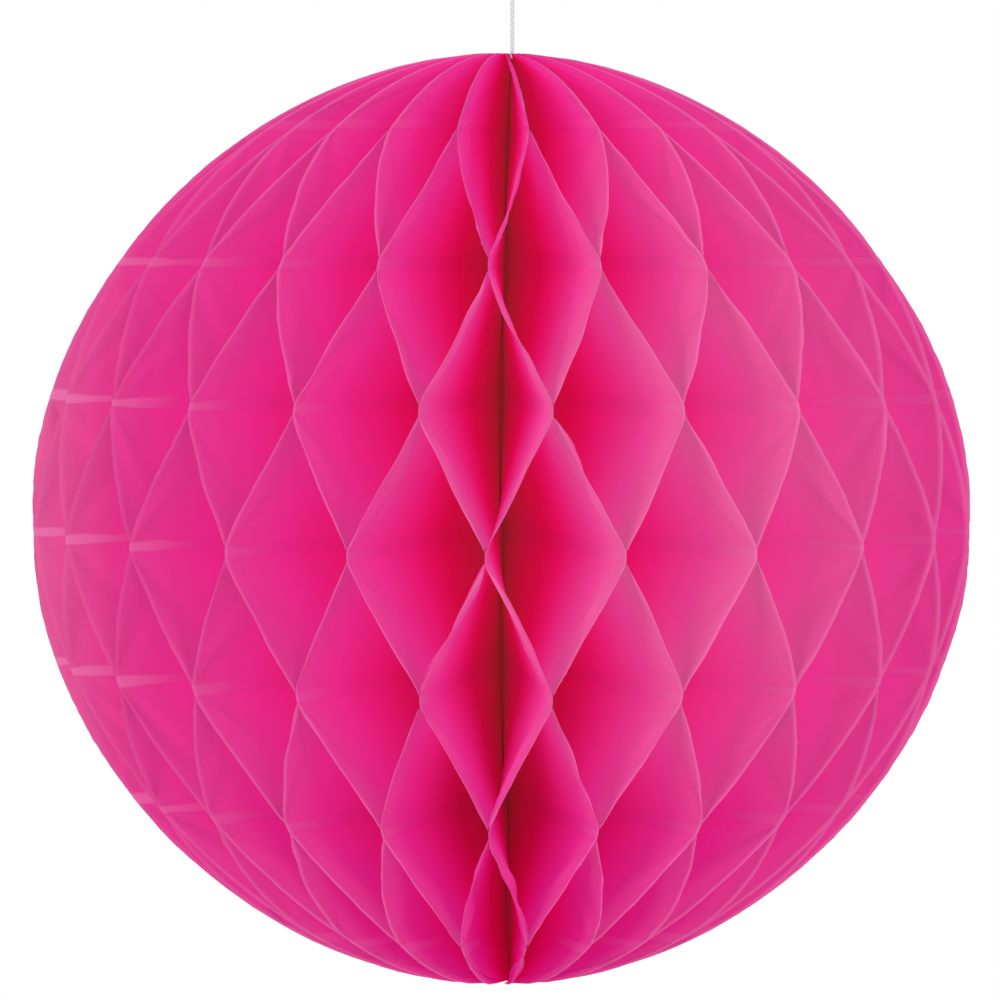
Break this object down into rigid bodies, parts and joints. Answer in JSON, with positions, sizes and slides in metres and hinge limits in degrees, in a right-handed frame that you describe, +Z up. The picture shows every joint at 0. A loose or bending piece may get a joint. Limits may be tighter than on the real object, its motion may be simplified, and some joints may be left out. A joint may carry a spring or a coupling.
{
  "type": "honeycomb paper ball",
  "caption": "Hanging paper decoration: a ball of half-round tissue leaves, glued in staggered rows and fanned out into open honeycomb cells round a thread with a loop.",
  "frame": {"origin": "middle of the ball's outline, halfway between the poles, where the bowed thread inside passes it", "axes": "+Z up along the free thread towards the hanging loop, -Y towards the viewer of the front, +X to the right"},
  "size_m": [0.1997, 0.1996, 0.2386],
  "materials": {
    "tissue": "matte",
    "thread": "matte"
  },
  "bodies": {
    "root": {"leaf_01": "tissue", "leaf_02": "tissue", "leaf_03": "tissue", "leaf_04": "tissue", "leaf_05": "tissue", "leaf_06": "tissue", "leaf_07": "tissue", "leaf_08": "tissue", "leaf_09": "tissue", "leaf_10": "tissue", "leaf_11": "tissue", "leaf_12": "tissue", "leaf_13": "tissue", "leaf_14": "tissue", "leaf_15": "tissue", "leaf_16": "tissue", "leaf_17": "tissue", "leaf_18": "tissue", "leaf_19": "tissue", "leaf_20": "tissue", "leaf_21": "tissue", "leaf_22": "tissue", "leaf_23": "tissue", "leaf_24": "tissue", "leaf_25": "tissue", "leaf_26": "tissue", "leaf_27": "tissue", "leaf_28": "tissue", "leaf_29": "tissue", "leaf_30": "tissue", "leaf_31": "tissue", "leaf_32": "tissue", "leaf_33": "tissue", "leaf_34": "tissue", "leaf_35": "tissue", "leaf_36": "tissue", "leaf_37": "tissue", "leaf_38": "tissue", "leaf_39": "tissue", "leaf_40": "tissue", "leaf_41": "tissue", "leaf_42": "tissue", "leaf_43": "tissue", "leaf_44": "tissue", "leaf_45": "tissue", "leaf_46": "tissue", "leaf_47": "tissue", "leaf_48": "tissue", "bottom_knot": "thread", "spine_thread": "thread", "hanging_thread": "thread", "loop_knot": "thread", "hanging_loop": "thread"}
  },
  "joints": []
}
